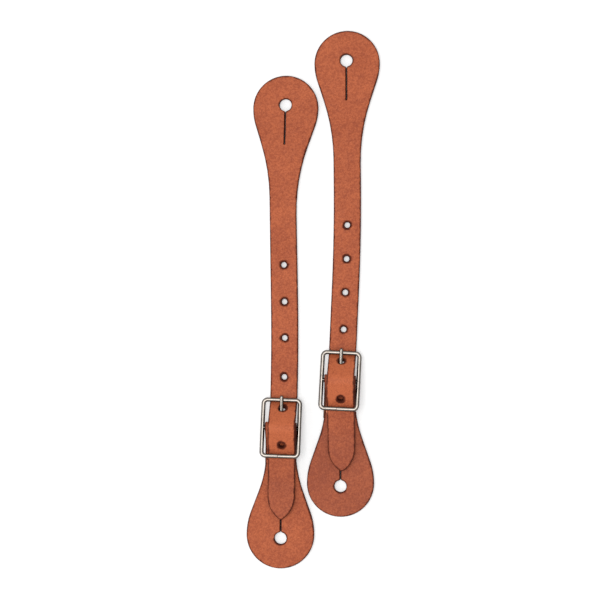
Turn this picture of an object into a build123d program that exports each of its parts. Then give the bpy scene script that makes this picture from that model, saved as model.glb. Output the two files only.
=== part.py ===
from build123d import *

import os
from collections import namedtuple
from math import asin, atan2, cos, degrees, hypot, pi, sin, sqrt, tan

os.makedirs("parts", exist_ok=True)

# A pair of buckled spur straps, lying flat with the grain side up.
# +Z is up, +Y runs towards the big paddles of the long straps, +X is to the right.
# Each strap is laid out in its own frame: the buckle's centre bar is over the origin,
# and "along" is the distance from that bar towards the big paddle.

# Leather
LEATHER = 3.0  # thickness of both straps
SKIVED = 2.0  # thickness of the pared part that folds round the centre bar
FEATHER = 0.7  # thickness of the flap's end
LAYER_GAP = 0.25  # air between the long strap and the layer under it
STRAP_HALF = 7.95  # half the width of the long strap
NECK_HALF = 8.7  # half the width of the short strap's neck, at its paddle
FOLD_HALF = 9.2  # half the width of the short strap, at its fold
BUCKLE_HOLE_R = 1.65
BUTTON_HOLE_R = 3.55
SLIT_WIDTH = 0.7
TONGUE_SLOT_WIDTH = 3.2  # the slot in the fold that the tongue's eye turns in
TONGUE_SLOT_LENGTH = 12.0
TONGUE_HOLE_ALONG = 10.7  # where the tongue comes up through the long strap
TONGUE_ROOM_WIDTH = 3.0  # the slanted room it has inside that hole
TONGUE_ROOM_LENGTH = 14.0
TONGUE_ROOM_ABOVE = 0.5
TONGUE_ROOM_BELOW = 0.7
TONGUE_ROOM_CORNER = 1.3

# Buckle
WIRE_R = 1.25
FRAME_HALF_LENGTH = 16.4  # centre bar to either end bar
FRAME_HALF_WIDTH = 10.7
FRAME_CORNER = 2.4
FRAME_TILT = 8.4  # degrees; the bar by the strap's tip stands higher
BAR_HEIGHT = 7.6  # centre bar's axis above the table
SEAM_WIDTH = 0.2
SEAM_X = -1.2
SEAM_SLANT = 18
TONGUE_R = 1.05
TONGUE_FIT = 0.05  # running clearance of the tongue's eye on the bar
TONGUE_REACH = 18.9  # centre bar to the tongue's tip
EYE_R = WIRE_R + TONGUE_FIT + TONGUE_R  # bar's axis to the middle of the eye's wire
EYE_ARC = 288  # degrees of wire in the eye
TONGUE_RISE = degrees(asin(2 * EYE_R / FRAME_HALF_LENGTH))  # from under the centre bar to over the far bar
FOLD_FIT = 0.15  # clearance of the leather fold on the bar

# How the leather runs through the buckle, as bends seen from the side
TABLE_BEND_ALONG = 17.8
TABLE_BEND_R = 6.0
NECK_BEND_ALONG = -16.5
NECK_BEND_HEIGHT = 15.3
NECK_BEND_R = 12.0
RAMP_FOOT_ALONG = -33.0
RAMP_FOOT_R = 20.0
FLAP_BEND_ALONG = -12.0
FLAP_BEND_R = 7.0
FLAP_END_ALONG = -23.5

# Rivets that hold the fold
RIVET_ALONG = -18.0
RIVET_X = 4.5
RIVET_R = 1.2
RIVET_HEAD_R = 3.0
RIVET_HEAD = 0.7
RIVET_TOP = 4.3
BURR_BOTTOM = 0.1
BURR_TOP = 0.7

# Paddles and tip, seen from above
LONG_PADDLE = dict(side=32.0, flare=112.0, flare_at=57.0, neck=STRAP_HALF)
SHORT_PADDLE = dict(side=38.0, flare=70.0, flare_at=49.5, neck=NECK_HALF)
TIP_SIDE_R = 16.3
SWAY_R = 200.0  # the long strap's slight bend where it passes the buckle

# Bend lines, where the leather is free to flex
BEND_GAP = 0.3

# Cutting blocks run well past the leather, up and down and sideways
DEEP = 40.0
WIDE = 300.0
TINY = 1e-6

LEFT = dict(
    name="left",
    bar=(-18.46, -75.00),
    turn=-1.67,
    shift=0.80,
    tip=(1.32, -53.8),
    tip_round=1.6,
    curve_start=14.7,
    curve_r=1373.0,
    long_centre=(-3.0, 187.0),
    long_lean=0.0,
    long_crown=19.15,
    long_button=(-0.16, 2.0),
    long_slit=20.9,
    short_lean=0.99,
    short_reach=62.9,
    short_crown=19.9,
    short_button=(-0.17, 2.2),
    short_slit=18.5,
    buckle_holes=(95.3, 73.7, 52.5, 29.6),
    covered_hole=-9.3,
    instep_bend=114.7,
    heel_bend=-39.3,
)
RIGHT = dict(
    name="right",
    bar=(16.10, -47.30),
    turn=-2.56,
    shift=0.50,
    tip=(3.31, -52.7),
    tip_round=2.4,
    curve_start=55.0,
    curve_r=1119.0,
    long_centre=(-4.4, 185.2),
    long_lean=2.56,
    long_crown=19.1,
    long_button=(-0.4, 1.8),
    long_slit=21.2,
    short_lean=2.56,
    short_reach=60.2,
    short_crown=19.65,
    short_button=(0.0, 1.8),
    short_slit=18.5,
    buckle_holes=(90.9, 71.1, 51.5, 29.8),
    covered_hole=-9.8,
    instep_bend=110.0,
    heel_bend=-39.0,
)

# A line bends round a guide circle: to the left with turn 1, to the right with turn -1.
# half is half the thickness or width of the leather there.
Guide = namedtuple("Guide", "x y radius turn half", defaults=(0,))


def turned(point, angle):
    """A point turned about the origin, counter-clockwise by an angle in degrees."""
    vector = Vector(*point).rotate(Axis.Z, angle)
    return vector.X, vector.Y


def tangent(a, b):
    """Heading and both ends of the straight run that leaves guide a for guide b."""
    dx = b.x - a.x
    dy = b.y - a.y
    lean = (b.radius * b.turn - a.radius * a.turn) / hypot(dx, dy)
    heading = atan2(dy, dx) - asin(round(lean, 9))
    ends = [touch(guide, heading) for guide in (a, b)]
    return heading, ends


def touch(guide, heading):
    """The point where a line with this heading touches a guide circle."""
    reach = guide.radius * guide.turn
    return guide.x + reach * sin(heading), guide.y - reach * cos(heading)


def bend(guide, before, after):
    """The arc that joins two runs round a guide circle, or None where they meet in a point."""
    sweep = (guide.turn * (after - before)) % (2 * pi)
    if guide.radius < TINY or sweep < TINY or sweep > 2 * pi - TINY:
        return None
    start = degrees(before) - 90 * guide.turn
    return CenterArc((guide.x, guide.y), guide.radius, start, guide.turn * degrees(sweep))


def belt(guides, closed=False):
    """A line pulled tight round guide circles: its straight runs and arcs, in order."""
    followers = guides[1:] + guides[:1] if closed else guides[1:]
    runs = [tangent(a, b) for a, b in zip(guides, followers)]
    edges = []
    for index, (heading, (start, end)) in enumerate(runs):
        if hypot(end[0] - start[0], end[1] - start[1]) > TINY:
            edges.append(Line(start, end))
        if closed or index + 1 < len(runs):
            follower = followers[index]
            next_heading = runs[(index + 1) % len(runs)][0]
            edges.append(bend(follower, heading, next_heading))
    return [edge for edge in edges if edge]


def beside(guides, side):
    """The same guides for the leather's left surface (side 1) or right surface (side -1)."""
    return [g._replace(radius=g.radius - g.turn * side * g.half) for g in guides]


def backwards(guides):
    return [g._replace(turn=-g.turn) for g in reversed(guides)]


def ribbon(guides):
    """Leather of any width, from the bends of its middle line seen from the side."""
    left = belt(beside(guides, 1))
    right = belt(beside(guides, -1))
    start = Line(right[0] @ 0, left[0] @ 0)
    end = Line(left[-1] @ 1, right[-1] @ 1)
    section = Face(Wire([start, *left, end, *right]))
    return extrude(Plane.YZ * section, DEEP, both=True)


def cut_out(guides):
    """A tall block with the outline that the guides give, to cut leather out with."""
    return extrude(Face(Wire(belt(guides, closed=True))), DEEP, both=True)


def paddle(centre, lean, crown, side, flare, flare_at, neck):
    """Guides up one flank of a paddle, over its crown and down the other flank."""

    def place(x, y):
        dx, dy = turned((x, y), lean)
        return centre[0] + dx, centre[1] + dy

    return [
        Guide(*place(neck + flare, -flare_at), flare, -1),
        Guide(*place(crown - side, 0), side, 1),
        Guide(*centre, crown, 1),
        Guide(*place(side - crown, 0), side, 1),
        Guide(*place(-neck - flare, -flare_at), flare, -1),
    ]


def long_side_guides():
    """The long strap from its tip to its paddle: over the neck, over the fold, down to the table."""
    lift = LEATHER + LAYER_GAP
    hump_r = WIRE_R + FOLD_FIT + SKIVED + LAYER_GAP + LEATHER / 2
    half = LEATHER / 2
    return [
        Guide(-80, half + lift, 0, 1, half),
        Guide(RAMP_FOOT_ALONG, half + RAMP_FOOT_R, RAMP_FOOT_R - lift, 1, half),
        Guide(NECK_BEND_ALONG, NECK_BEND_HEIGHT, NECK_BEND_R - lift, 1, half),
        Guide(0, BAR_HEIGHT, hump_r, -1, half),
        Guide(TABLE_BEND_ALONG, half + TABLE_BEND_R, TABLE_BEND_R, 1, half),
        Guide(240, half, 0, 1, half),
    ]


def short_side_guides():
    """The short strap from its paddle: up to the bar, round it, and back as a flap on the table."""
    fold_r = WIRE_R + FOLD_FIT + SKIVED / 2
    half = LEATHER / 2
    return [
        Guide(-120, half, 0, 1, half),
        Guide(RAMP_FOOT_ALONG, half + RAMP_FOOT_R, RAMP_FOOT_R, 1, half),
        Guide(NECK_BEND_ALONG, NECK_BEND_HEIGHT, NECK_BEND_R, 1, half),
        Guide(0, BAR_HEIGHT, fold_r, -1, SKIVED / 2),
        Guide(FLAP_BEND_ALONG, SKIVED / 2 + FLAP_BEND_R, FLAP_BEND_R, -1, SKIVED / 2),
        Guide(FLAP_END_ALONG, FEATHER / 2, 0, 1, FEATHER / 2),
    ]


def long_axis_guides(strap):
    """The middle line of the long strap, seen from above, from its tip to its paddle."""
    foot = turned((0, -LONG_PADDLE["flare_at"]), strap["long_lean"])
    centre = strap["long_centre"]
    return [
        Guide(*strap["tip"], 0, 1, STRAP_HALF),
        Guide(strap["shift"] + SWAY_R, 0, SWAY_R, -1, STRAP_HALF),
        Guide(strap["shift"] - strap["curve_r"], strap["curve_start"], strap["curve_r"], 1, STRAP_HALF),
        Guide(centre[0] + foot[0], centre[1] + foot[1], 0, 1, STRAP_HALF),
    ]


def tip_guides(strap):
    """The ogive tip: its left side, its rounded point and its right side."""
    heading, _ = tangent(*long_axis_guides(strap)[:2])
    lean = degrees(heading) - 90
    across = TIP_SIDE_R - STRAP_HALF
    shoulder = strap["tip_round"] + sqrt((TIP_SIDE_R - strap["tip_round"]) ** 2 - across**2)

    def place(x, y):
        dx, dy = turned((x, y), lean)
        return strap["tip"][0] + dx, strap["tip"][1] + dy

    return [
        Guide(*place(across, shoulder), TIP_SIDE_R, 1),
        Guide(*place(0, strap["tip_round"]), strap["tip_round"], 1),
        Guide(*place(-across, shoulder), TIP_SIDE_R, 1),
    ]


def long_outline(strap):
    bends = long_axis_guides(strap)[1:3]
    head = paddle(strap["long_centre"], strap["long_lean"], strap["long_crown"], **LONG_PADDLE)
    return cut_out(
        beside(bends, -1) + head + backwards(beside(bends, 1)) + tip_guides(strap)
    )


def short_outline(strap):
    centre = turned((0, -strap["short_reach"]), strap["short_lean"])
    head = paddle(centre, 180 + strap["short_lean"], strap["short_crown"], **SHORT_PADDLE)
    fold_end = FOLD_HALF / 2
    return cut_out([Guide(FOLD_HALF, fold_end, 0, 1), Guide(-FOLD_HALF, fold_end, 0, 1)] + head)


def button_hole(centre, lean, offset, slit_end):
    """A round hole for the spur's button, and the slit below it that lets the button through."""
    slit_length = slit_end + offset[1]
    slit = Pos(offset[0], offset[1] - slit_length / 2) * Box(SLIT_WIDTH, slit_length, DEEP)
    hole = Pos(*offset) * Cylinder(BUTTON_HOLE_R, DEEP)
    return Pos(*centre) * Rot(0, 0, lean) * (hole + slit)


def middle_x(strap, along):
    """How far the long strap's middle line lies to the right at a distance along the buckle's axis."""
    middle = Wire(belt(long_axis_guides(strap)))
    across = Edge.make_line((-DEEP, along), (DEEP, along))
    return middle.intersect(across).vertices()[0].X


def punch(strap, along, run):
    """A round punch square to one straight run of the long strap, a pair of side guides."""
    slope, (start, _) = tangent(*run)
    height = start[1] + (along - start[0]) * tan(slope)
    place = Pos(middle_x(strap, along), along, height) * Rot(degrees(slope), 0, 0)
    return place * Cylinder(BUCKLE_HOLE_R, 3 * LEATHER)


def buckle_holes(strap):
    """The punched holes on the table, the one the tongue uses and the one over the neck."""
    side = long_side_guides()
    flat = side[4:6]
    rising = side[3:5]
    falling = side[2:4]
    holes = [punch(strap, along, flat) for along in strap["buckle_holes"]]
    return [*holes, punch(strap, TONGUE_HOLE_ALONG, rising), punch(strap, strap["covered_hole"], falling)]


def buckle_place():
    return Pos(0, 0, BAR_HEIGHT) * Rot(-FRAME_TILT, 0, 0)


def wire_sweep(path, radius):
    section = Plane(origin=path @ 0, z_dir=path % 0) * Circle(radius)
    return sweep(section, path)


def buckle_frame():
    """One bent wire: two mirrored halves joined, then parted again by the slanted butt seam."""
    corners = [
        (0, -FRAME_HALF_LENGTH),
        (FRAME_HALF_WIDTH, -FRAME_HALF_LENGTH),
        (FRAME_HALF_WIDTH, FRAME_HALF_LENGTH),
        (0, FRAME_HALF_LENGTH),
    ]
    half = wire_sweep(Wire(FilletPolyline(*corners, radius=FRAME_CORNER).edges()), WIRE_R)
    seam = Box(SEAM_WIDTH, 4 * WIRE_R, 4 * WIRE_R)
    frame = half + mirror(half, about=Plane.YZ)
    return frame - Pos(SEAM_X, -FRAME_HALF_LENGTH) * Rot(0, 0, SEAM_SLANT) * seam


def centre_bar(frame):
    """A straight wire whose ends are coped to the side bars."""
    bar = Rot(0, 90, 0) * Cylinder(WIRE_R, 2 * FRAME_HALF_WIDTH)
    return (bar - frame).solids().sort_by(SortBy.VOLUME)[-1]


def tongue_place():
    """The tongue's shank is laid out level and under the bar, then rises to lie on the far bar."""
    return buckle_place() * Rot(TONGUE_RISE, 0, 0)


def tongue():
    """A wire with an eye round the centre bar and a straight shank."""
    shank_end = TONGUE_REACH - TONGUE_R
    eye = CenterArc((0, 0), EYE_R, -90, -EYE_ARC)
    shank = Line((shank_end, -EYE_R), (0, -EYE_R))
    path = Plane.YZ * Wire([shank, eye])
    return wire_sweep(path, TONGUE_R) + Pos(0, shank_end, -EYE_R) * Sphere(TONGUE_R)


def tongue_room():
    """The room that the tongue needs through the strap: it enters low and leaves high, at a slant."""
    height = 2 * TONGUE_R + TONGUE_ROOM_ABOVE + TONGUE_ROOM_BELOW
    middle = (TONGUE_ROOM_ABOVE - TONGUE_ROOM_BELOW) / 2 - EYE_R
    room = Box(TONGUE_ROOM_WIDTH, TONGUE_ROOM_LENGTH, height)
    rounded = fillet(room.edges().filter_by(Axis.Y), TONGUE_ROOM_CORNER)
    return tongue_place() * Pos(0, TONGUE_ROOM_LENGTH / 2, middle) * rounded


def rivet_spots():
    return [Pos(side * RIVET_X, RIVET_ALONG, 0) for side in (-1, 1)]


def upright(radius, bottom, top):
    return Pos(0, 0, (bottom + top) / 2) * Cylinder(radius, top - bottom)


def rivets():
    shank = upright(RIVET_R, BURR_BOTTOM, RIVET_TOP)
    head = upright(RIVET_HEAD_R, RIVET_TOP - RIVET_HEAD, RIVET_TOP)
    return Compound([spot * (shank + head) for spot in rivet_spots()])


def burrs():
    ring = upright(RIVET_HEAD_R, BURR_BOTTOM, BURR_TOP) - upright(RIVET_R, BURR_BOTTOM, BURR_TOP)
    return Compound([spot * ring for spot in rivet_spots()])


def rivet_room():
    """What the rivets and burrs take out of the leather, with their heads sunk below its faces."""
    shank = upright(RIVET_R, BURR_BOTTOM, RIVET_TOP)
    head = upright(RIVET_HEAD_R, RIVET_TOP - RIVET_HEAD, RIVET_TOP + LEATHER)
    burr = upright(RIVET_HEAD_R, -LEATHER, BURR_TOP)
    return [spot * solid for spot in rivet_spots() for solid in (shank, head, burr)]


def tongue_slot():
    return extrude(SlotOverall(TONGUE_SLOT_LENGTH, TONGUE_SLOT_WIDTH, rotation=90), DEEP, both=True)


def long_strap(strap):
    outline = long_outline(strap)
    leather = ribbon(long_side_guides()) & outline
    for hole in buckle_holes(strap):
        leather -= hole
    leather -= tongue_room()
    leather -= button_hole(strap["long_centre"], strap["long_lean"], strap["long_button"], strap["long_slit"])
    return leather, outline


def short_strap(strap):
    outline = short_outline(strap)
    leather = (ribbon(short_side_guides()) & outline) - tongue_slot()
    for room in rivet_room():
        leather -= room
    centre = turned((0, -strap["short_reach"]), strap["short_lean"])
    lean = 180 + strap["short_lean"]
    leather -= button_hole(centre, lean, strap["short_button"], strap["short_slit"])
    return leather, outline


def split_at_bend(leather, outline, bend_y, towards):
    """Part a strap at its bend line: the paddle end is rounded on the bend's axis, the rest stops short."""
    half = LEATHER / 2
    block = Box(WIDE, WIDE, 2 * DEEP)
    beyond = Pos(0, bend_y + towards * WIDE / 2, 0) * block
    barrel = Pos(0, bend_y, half) * Rot(0, 90, 0) * Cylinder(half, WIDE)
    rounded = (barrel & outline) - beyond
    stop = bend_y - towards * (half + BEND_GAP)
    before = Pos(0, stop - towards * WIDE / 2, 0) * block
    return (leather & beyond) + rounded, leather & before


def strap_parts(strap):
    """Every piece of one strap, in place, by name."""
    place = Pos(*strap["bar"]) * Rot(0, 0, strap["turn"])
    bar_y = strap["bar"][1]
    long_leather, long_block = [place * solid for solid in long_strap(strap)]
    short_leather, short_block = [place * solid for solid in short_strap(strap)]
    long_end, long_body = split_at_bend(long_leather, long_block, bar_y + strap["instep_bend"], 1)
    short_end, short_body = split_at_bend(short_leather, short_block, bar_y + strap["heel_bend"], -1)
    frame = buckle_frame()
    pieces = {
        "long_strap_paddle": long_end,
        "long_strap_body": long_body,
        "short_strap_paddle": short_end,
        "short_strap_fold": short_body,
        "buckle_frame": place * buckle_place() * frame,
        "centre_bar": place * buckle_place() * centre_bar(frame),
        "tongue": place * tongue_place() * tongue(),
        "rivets": place * rivets(),
        "burrs": place * burrs(),
    }
    return {f"{strap['name']}_{name}": piece for name, piece in pieces.items()}


def report_places(strap, centring):
    """Print where the joints and the button holes are, in the part's own frame."""
    place = centring * Pos(*strap["bar"]) * Rot(0, 0, strap["turn"])
    bar_y = (centring * Pos(*strap["bar"])).position.Y
    long_turn = Pos(*strap["long_centre"]) * Rot(0, 0, strap["long_lean"])
    long_hole = place * long_turn * Pos(*strap["long_button"])
    short_turn = Rot(0, 0, strap["short_lean"]) * Pos(0, -strap["short_reach"]) * Rot(0, 0, 180)
    short_hole = place * short_turn * Pos(*strap["short_button"])
    print(strap["name"], "centre bar", (place * Pos(0, 0, BAR_HEIGHT)).position)
    print(strap["name"], "buttons", long_hole.position, short_hole.position)
    print(strap["name"], "bend lines at y", [bar_y + strap[key] for key in ("instep_bend", "heel_bend")])


def main():
    parts = {**strap_parts(LEFT), **strap_parts(RIGHT)}
    box = Compound(list(parts.values())).bounding_box()
    centring = Pos(-box.center().X, -box.center().Y, -box.min.Z)
    for name, part in parts.items():
        solids = (centring * part).solids()
        export_step(solids[0] if len(solids) == 1 else Compound(solids), f"parts/{name}.step")
    print("overall size", box.size)
    for strap in (LEFT, RIGHT):
        report_places(strap, centring)


main()
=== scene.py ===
from collections import namedtuple
from math import asin, atan2, ceil, cos, degrees, hypot, pi, radians, sin, sqrt

import bmesh
import bpy
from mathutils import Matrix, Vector
from mathutils.bvhtree import BVHTree


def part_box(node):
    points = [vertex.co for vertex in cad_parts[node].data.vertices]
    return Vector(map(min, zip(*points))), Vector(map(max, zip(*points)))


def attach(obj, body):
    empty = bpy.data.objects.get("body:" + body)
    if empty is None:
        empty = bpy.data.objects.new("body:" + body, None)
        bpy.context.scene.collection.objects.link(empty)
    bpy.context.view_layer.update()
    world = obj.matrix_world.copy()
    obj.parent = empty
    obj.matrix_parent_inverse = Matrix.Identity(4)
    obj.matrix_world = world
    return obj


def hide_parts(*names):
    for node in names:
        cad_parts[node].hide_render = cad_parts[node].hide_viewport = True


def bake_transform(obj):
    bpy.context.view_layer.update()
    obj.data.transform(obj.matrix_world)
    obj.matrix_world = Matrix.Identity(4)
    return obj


bl_info = {
    "name": "Spur Straps",
    "version": (1, 0, 0),
    "blender": (4, 5, 0),
    "location": "View3D > Sidebar > Spur Straps",
    "description": "Leather, metal and stage for a pair of buckled spur straps",
    "category": "Object",
}

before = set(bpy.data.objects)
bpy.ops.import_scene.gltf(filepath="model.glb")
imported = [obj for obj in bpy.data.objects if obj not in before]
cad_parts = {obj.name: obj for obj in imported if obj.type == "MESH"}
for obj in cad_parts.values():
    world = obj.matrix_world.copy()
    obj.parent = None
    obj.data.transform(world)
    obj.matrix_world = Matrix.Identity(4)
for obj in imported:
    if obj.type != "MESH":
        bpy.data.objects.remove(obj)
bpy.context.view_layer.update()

# Shapes are drawn in millimetres, in each strap's own frame: the buckle's centre bar is over
# the origin, and "along" is the distance from that bar towards the big paddle.
MM = 0.001
UP = Vector((0, 0, 1))
TINY = 1e-6
WHITE = (1, 1, 1, 1)

# Leather
LEATHER = 3.0
SKIVED = 2.0
FEATHER = 0.7
LAYER_GAP = 0.25
STRAP_HALF = 7.95
NECK_HALF = 8.7
FOLD_HALF = 9.2
FLAP_CORNER = 1.5
BUCKLE_HOLE_R = 1.65
BUTTON_HOLE_R = 3.55
SLIT_WIDTH = 0.9
SLIT_FOOT = 0.04
TONGUE_SLOT_WIDTH = 3.2
TONGUE_SLOT_LENGTH = 12.0
TONGUE_HOLE_ALONG = 10.7
TONGUE_ROOM = (3.0, 14.0, 3.3)
TONGUE_ROOM_MIDDLE = -2.45
TONGUE_ROOM_CORNER = 1.3

# Buckle
WIRE_R = 1.25
BAR_HEIGHT = 7.6
FRAME_HALF_LENGTH = 16.4
FRAME_HALF_WIDTH = 10.7
FRAME_CORNER = 2.4
FRAME_TILT = 8.4
SEAM_WIDTH = 0.2
SEAM_X = -1.2
SEAM_SLANT = 18
TONGUE_RISE = 16.655
FOLD_FIT = 0.15

# How the leather runs through the buckle, as bends seen from the side. The ends of a line lie
# beyond the leather that follows it.
LONG_LINE_ENDS = (-80.0, 240.0)
SHORT_LINE_START = -120.0
TABLE_BEND_ALONG = 17.8
TABLE_BEND_R = 6.0
NECK_BEND_ALONG = -16.5
NECK_BEND_HEIGHT = 15.3
NECK_BEND_R = 12.0
RAMP_FOOT_ALONG = -33.0
RAMP_FOOT_R = 20.0
FLAP_BEND_ALONG = -12.0
FLAP_BEND_R = 7.0
FLAP_END_ALONG = -23.5

# Rivets that hold the fold
RIVET_ALONG = -18.0
RIVET_X = 4.5
RIVET_R = 1.2
RIVET_HEAD_R = 3.0
RIVET_HEAD = 0.7
RIVET_TOP = 4.3
BURR_TOP = 0.7

# Paddles and tip, seen from above
LONG_PADDLE = dict(side=32.0, flare=112.0, flare_at=57.0, neck=STRAP_HALF)
SHORT_PADDLE = dict(side=38.0, flare=70.0, flare_at=49.5, neck=NECK_HALF)
TIP_SIDE_R = 16.3
SWAY_R = 200.0

# Where the two straps differ: angles in degrees, and places as (across, along)
LEFT = dict(
    name="left",
    turn=-1.67,
    shift=0.80,
    tip=(1.32, -53.8),
    tip_round=1.6,
    curve_start=14.7,
    curve_r=1373.0,
    long_centre=(-3.0, 187.0),
    long_lean=0.0,
    long_crown=19.15,
    long_button=(-0.16, 2.0),
    long_slit=20.9,
    short_lean=0.99,
    short_reach=62.9,
    short_crown=19.9,
    short_button=(-0.17, 2.2),
    short_slit=18.5,
    buckle_holes=(95.3, 73.7, 52.5, 29.6),
    covered_hole=-9.3,
    hide_at=0.0,
    short_wear=0.0,
)
RIGHT = dict(
    name="right",
    turn=-2.56,
    shift=0.50,
    tip=(3.31, -52.7),
    tip_round=2.4,
    curve_start=55.0,
    curve_r=1119.0,
    long_centre=(-4.4, 185.2),
    long_lean=2.56,
    long_crown=19.1,
    long_button=(-0.4, 1.8),
    long_slit=21.2,
    short_lean=2.56,
    short_reach=60.2,
    short_crown=19.65,
    short_button=(0.0, 1.8),
    short_slit=18.5,
    buckle_holes=(90.9, 71.1, 51.5, 29.8),
    covered_hole=-9.8,
    hide_at=400.0,
    short_wear=0.4,
)
STRAPS = (LEFT, RIGHT)

# How the leather's tone changes over the hide, and the painted light and painted shade on the long straps
SHORT_HIDE = 150.0
# Painted light: how much brighter the long strap is painted where it rises over the buckle's hump
HUMP_PAINTED_LIGHT = 0.75
HUMP_PAINTED_LIGHT_FADE = 6.0
# Painted shade: how much darker the long strap is painted towards its tip, and where that starts and ends
TIP_PAINTED_SHADE = 0.35
TIP_PAINTED_SHADE_STARTS = 6.0
TIP_PAINTED_SHADE_LENGTH = 18.0

# How finely the leather is cut, so that it can bend
CUT_STEP = 1.2
CUT_ANGLE = radians(7)
DRAW_ANGLE = radians(4)
DRAW_STEP = 9.0
PUNCH_ANGLE = radians(12)
EDGE_BAND = 0.6
WIDEST = 24.0
HOLE_SIDES = 48
EDGE_STEPS = 4
RIM_STEPS = 3
KEYHOLE_CORNER = 0.5
RIM_LIFT = 0.01

# How near two points, cuts or levels are before they count as one
SAME_POINT = 0.01
SAME_CUT = 0.02
SAME_LEVEL = 0.001
SHORTEST_EDGE = 0.005

# How much of a face's normal points up: more than this on a level face, less than this on a wall
LEVEL_FACE = 0.9
FLAT_FACE = 0.99
RIM_WALL = 0.1
EDGE_WALL = 0.15

# How finely the wire is made, and where its shading turns sharp
WIRE_CORNER_STEPS = 12
WIRE_ROUND_STEPS = 8
SHARP_ANGLE = radians(40)

# Soft boxes: their places and sizes in metres
KEY_PLACE = (-0.85, -0.35, 0.80)
KEY_SIZE = (0.4, 0.5)
TOP_PLACE = (-0.1, 0.0, 1.5)
TOP_SIZE = (0.9, 0.9)

# A line is pulled tight round circles, its guides. A guide's turn is 1 where the line goes round it
# counter-clockwise and -1 where it goes round it clockwise, and half is half the leather's width there.
# A run is a straight stretch of the line between two guides, which begins and ends so far along it.
Guide = namedtuple("Guide", "x y radius turn half", defaults=(0,))
Run = namedtuple("Run", "heading start end begins ends")


# ---------------------------------------------------------------- lines round guide circles


def turned(point, angle):
    """A point turned about the origin, counter-clockwise by an angle in degrees."""
    c, s = cos(radians(angle)), sin(radians(angle))
    return point[0] * c - point[1] * s, point[0] * s + point[1] * c


def touch(guide, heading):
    """The point where a line with this heading touches a guide circle."""
    reach = guide.radius * guide.turn
    return guide.x + reach * sin(heading), guide.y - reach * cos(heading)


def sweep_between(guide, before, after):
    """How far a line turns round a guide circle, between two headings."""
    sweep = (guide.turn * (after - before)) % (2 * pi)
    return 0.0 if sweep > 2 * pi - TINY else sweep


def runs_between(guides, closed=False):
    """The straight runs of a line pulled tight round guide circles, and how far along it they lie."""
    followers = guides[1:] + guides[:1] if closed else guides[1:]
    runs = []
    length = 0.0
    for a, b in zip(guides, followers):
        dx, dy = b.x - a.x, b.y - a.y
        lean = (b.radius * b.turn - a.radius * a.turn) / hypot(dx, dy)
        heading = atan2(dy, dx) - asin(round(lean, 9))
        start, end = touch(a, heading), touch(b, heading)
        if runs:
            length += a.radius * sweep_between(a, runs[-1].heading, heading)
        reach = hypot(end[0] - start[0], end[1] - start[1])
        runs.append(Run(heading, start, end, length, length + reach))
        length += reach
    return runs


def beside(guides, side):
    """The same guides for a line to the left (side 1) or to the right (side -1)."""
    return [g._replace(radius=g.radius - g.turn * side * g.half) for g in guides]


def backwards(guides):
    """The same guides for a line that runs the other way."""
    return [g._replace(turn=-g.turn) for g in reversed(guides)]


def flat_at(run, along):
    """How far along the flat leather a place on one of its straight runs is."""
    return run.begins + (along - run.start[0]) / cos(run.heading)


def middle_x(guides, y):
    """Where a strap's middle line is, at a distance along the flat leather."""
    runs = runs_between(guides)
    for run in runs:
        if run.start[1] <= y <= run.end[1]:
            share = (y - run.start[1]) / (run.end[1] - run.start[1])
            return run.start[0] + share * (run.end[0] - run.start[0])
    bends = [g for g, a, b in zip(guides[1:], runs, runs[1:]) if a.end[1] < y < b.start[1]]
    guide = bends[0]
    return guide.x + guide.turn * sqrt(guide.radius**2 - (y - guide.y) ** 2)


# ---------------------------------------------------------------- modelling steps


def deselect():
    bpy.ops.object.select_all(action="DESELECT")


def make_active(piece):
    deselect()
    piece.select_set(True)
    bpy.context.view_layer.objects.active = piece


def edit(piece):
    make_active(piece)
    bpy.ops.object.mode_set(mode="EDIT")
    bpy.ops.mesh.select_mode(type="VERT")
    bpy.ops.mesh.select_all(action="SELECT")


def done():
    bpy.ops.object.mode_set(mode="OBJECT")
    bpy.context.view_layer.update()


def settle(piece):
    """Leave a piece at the origin, unturned and unscaled, with its place in its mesh."""
    make_active(piece)
    bpy.ops.object.transform_apply(location=True, rotation=True, scale=True)
    bpy.context.view_layer.update()


def apply_modifier(piece, kind, **settings):
    make_active(piece)
    modifier = piece.modifiers.new(kind.title(), kind)
    for key, value in settings.items():
        setattr(modifier, key, value)
    bpy.ops.object.modifier_apply(modifier=modifier.name)


def draw_line(name, guides, closed=False, angle=DRAW_ANGLE, step=DRAW_STEP):
    """Draw a line round guide circles: one vertex, extruded along the runs and spun round the bends."""
    runs = runs_between(guides, closed)
    deselect()
    start = Vector((*runs[0].start, 0)) * MM
    bpy.ops.mesh.primitive_plane_add(size=MM, location=start)
    line = bpy.context.object
    line.name = line.data.name = name
    settle(line)
    edit(line)
    bpy.ops.mesh.merge(type="CENTER")
    followers = guides[1:] + guides[:1] if closed else guides[1:]
    for index, (run, guide) in enumerate(zip(runs, followers)):
        if run.ends - run.begins > TINY:
            ahead = Vector((run.end[0] - run.start[0], run.end[1] - run.start[1], 0)) * MM
            bpy.ops.mesh.extrude_region_move(TRANSFORM_OT_translate={"value": ahead})
        if not closed and index + 1 == len(runs):
            break
        sweep = sweep_between(guide, run.heading, runs[(index + 1) % len(runs)].heading)
        if guide.radius > TINY and sweep > TINY:
            steps = max(2, ceil(sweep / angle), ceil(sweep * guide.radius / step))
            centre = Vector((guide.x, guide.y, 0)) * MM
            bpy.ops.mesh.spin(steps=steps, angle=-guide.turn * sweep, center=centre, axis=UP)
    bpy.ops.mesh.select_all(action="SELECT")
    bpy.ops.mesh.remove_doubles(threshold=SAME_POINT * MM)
    done()
    return line


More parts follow.
